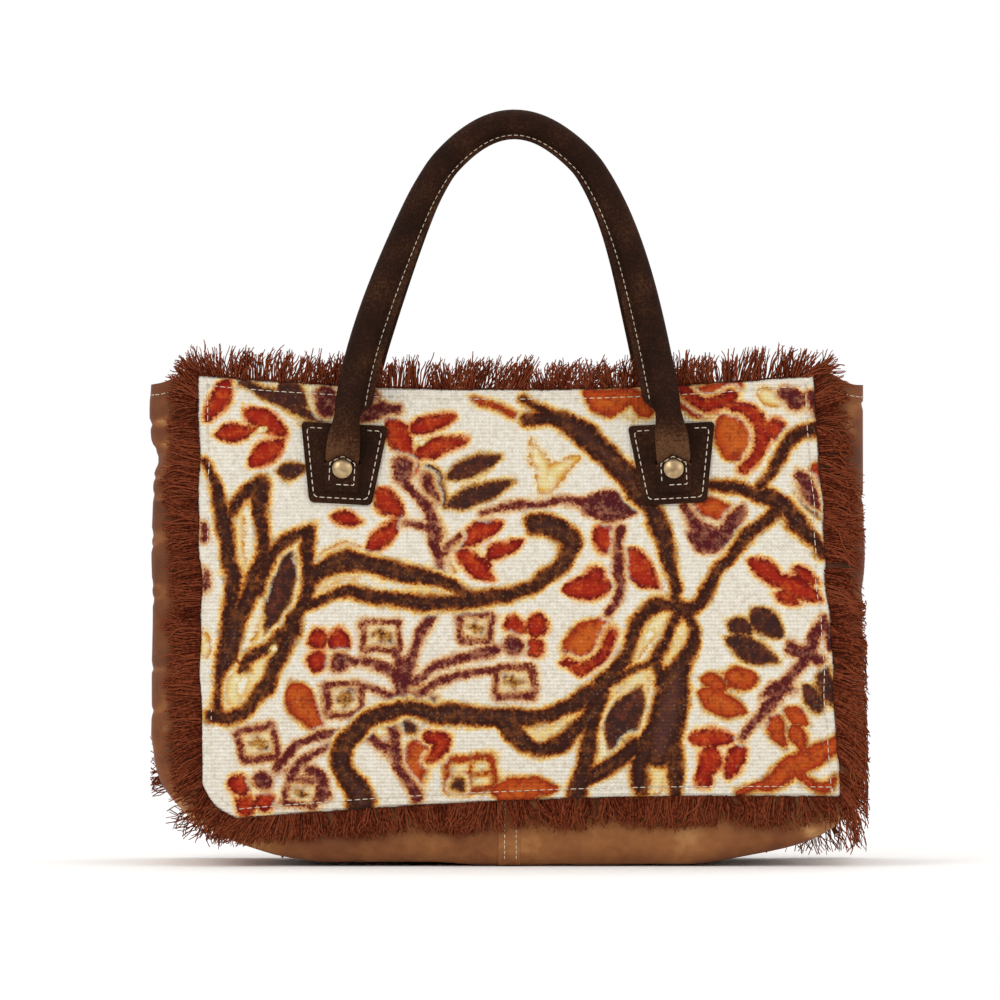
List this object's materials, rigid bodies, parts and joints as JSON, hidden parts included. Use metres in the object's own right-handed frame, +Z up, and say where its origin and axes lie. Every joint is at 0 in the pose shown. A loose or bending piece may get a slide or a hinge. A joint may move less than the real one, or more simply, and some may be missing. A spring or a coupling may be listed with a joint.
{
  "type": "carpet bag",
  "caption": "Small waxed-canvas handbag with a fringed floral rug panel on each face, two rolled leather handles riveted on leather tabs, and a zip across the top.",
  "frame": {"origin": "middle of the base, on the surface that the bag stands on", "axes": "+X across the bag to the right seen from its front, +Y to its rear, +Z up"},
  "size_m": [0.343, 0.1148, 0.3643],
  "materials": {
    "waxed_canvas": "waxed, creased",
    "cotton_lining": "plain cotton",
    "rug_cloth": "woven, printed",
    "fringe_yarn": "loose yarn",
    "zip_facing_canvas": "plain weave",
    "zip_tape_cloth": "herringbone tape",
    "handle_cord": "twisted cotton",
    "brown_leather": "waxed, rubbed",
    "tab_leather": "nubuck, rubbed",
    "antique_brass": "antiqued"
  },
  "bodies": {
    "bag": {"canvas_left": "waxed_canvas", "canvas_right": "waxed_canvas", "lining": "cotton_lining", "front_rug_panel": "rug_cloth", "front_fringe_top": "fringe_yarn", "front_fringe_bottom": "fringe_yarn", "front_fringe_left": "fringe_yarn", "front_fringe_right": "fringe_yarn", "front_zip_facing": "zip_facing_canvas", "front_zip_tape": "zip_tape_cloth", "front_zip_teeth": "antique_brass", "front_handle_tab_left": "tab_leather", "front_handle_end_left": "brown_leather", "front_rivet_left": "antique_brass", "front_rivet_back_left": "antique_brass", "front_handle_tab_right": "tab_leather", "front_handle_end_right": "brown_leather", "front_rivet_right": "antique_brass", "front_rivet_back_right": "antique_brass", "rear_rug_panel": "rug_cloth", "rear_fringe_top": "fringe_yarn", "rear_fringe_bottom": "fringe_yarn", "rear_fringe_left": "fringe_yarn", "rear_fringe_right": "fringe_yarn", "rear_zip_facing": "zip_facing_canvas", "rear_zip_tape": "zip_tape_cloth", "rear_zip_teeth": "antique_brass", "rear_handle_tab_left": "tab_leather", "rear_handle_end_left": "brown_leather", "rear_rivet_left": "antique_brass", "rear_rivet_back_left": "antique_brass", "rear_handle_tab_right": "tab_leather", "rear_handle_end_right": "brown_leather", "rear_rivet_right": "antique_brass", "rear_rivet_back_right": "antique_brass", "zip_top_stops": "antique_brass", "zip_bottom_stop": "antique_brass", "zip_end_tab_left": "waxed_canvas", "zip_end_tab_right": "waxed_canvas"},
    "front_handle": {"front_handle_leather": "brown_leather", "front_handle_core": "handle_cord"},
    "rear_handle": {"rear_handle_leather": "brown_leather", "rear_handle_core": "handle_cord"},
    "slider": {"zip_slider": "antique_brass"},
    "pull": {"zip_pull": "antique_brass"}
  },
  "joints": [
    {"name": "front_handle_swing", "type": "hinge", "parent": "bag", "child": "front_handle", "pos_m": [0, -0.05072, 0.19992], "axis": [1, 0, 0], "range_deg": [0, 155]},
    {"name": "rear_handle_swing", "type": "hinge", "parent": "bag", "child": "rear_handle", "pos_m": [0, 0.05072, 0.19992], "axis": [-1, 0, 0], "range_deg": [0, 155]},
    {"name": "zip_slide", "type": "slide", "parent": "bag", "child": "slider", "axis": [1, 0, 0], "range_m": [0, 0.0717], "deforming": ["front_zip_teeth", "rear_zip_teeth"]},
    {"name": "zip_pull_swing", "type": "hinge", "parent": "slider", "child": "pull", "pos_m": [0.06, 0, 0.2256], "axis": [0, -1, 0], "range_deg": [0, 170]}
  ]
}
